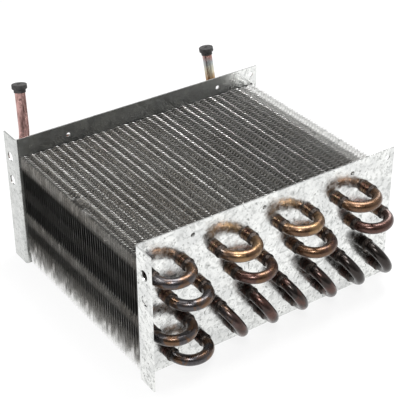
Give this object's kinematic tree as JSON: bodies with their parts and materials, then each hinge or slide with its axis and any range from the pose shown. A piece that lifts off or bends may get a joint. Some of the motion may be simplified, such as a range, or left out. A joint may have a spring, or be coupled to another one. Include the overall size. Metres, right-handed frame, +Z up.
{
  "type": "condenser coil",
  "caption": "Fin-and-tube condenser coil with staggered tube rows, brazed front return bends, folded end plates and two capped upright stubs.",
  "frame": {"origin": "under the middle of the whole coil, at the lower edges of the end plates", "axes": "+X along the end plates away from their flanges, +Y from the return bends to the stubs, +Z up"},
  "size_m": [0.262, 0.2702, 0.1662],
  "materials": {
    "galvanised_sheet": "spangled zinc, dull",
    "fin_sheet": "dull, dusty, rippled",
    "copper_tube": "dark brown copper, satin, heat tinted",
    "black_cap": "matt"
  },
  "bodies": {
    "root": {"front_end_plate": "galvanised_sheet", "rear_end_plate": "galvanised_sheet", "fin_pack": "fin_sheet", "hairpin_01": "copper_tube", "hairpin_02": "copper_tube", "hairpin_03": "copper_tube", "hairpin_04": "copper_tube", "hairpin_05": "copper_tube", "hairpin_06": "copper_tube", "hairpin_07": "copper_tube", "hairpin_08": "copper_tube", "hairpin_09": "copper_tube", "hairpin_10": "copper_tube", "hairpin_11": "copper_tube", "hairpin_12": "copper_tube", "hairpin_13": "copper_tube", "hairpin_14": "copper_tube", "hairpin_15": "copper_tube", "inlet_tube": "copper_tube", "outlet_tube": "copper_tube", "return_bends_top_row": "copper_tube", "return_bends_second_row": "copper_tube", "return_bends_lower_rows": "copper_tube", "inlet_cap": "black_cap", "outlet_cap": "black_cap"}
  },
  "joints": []
}
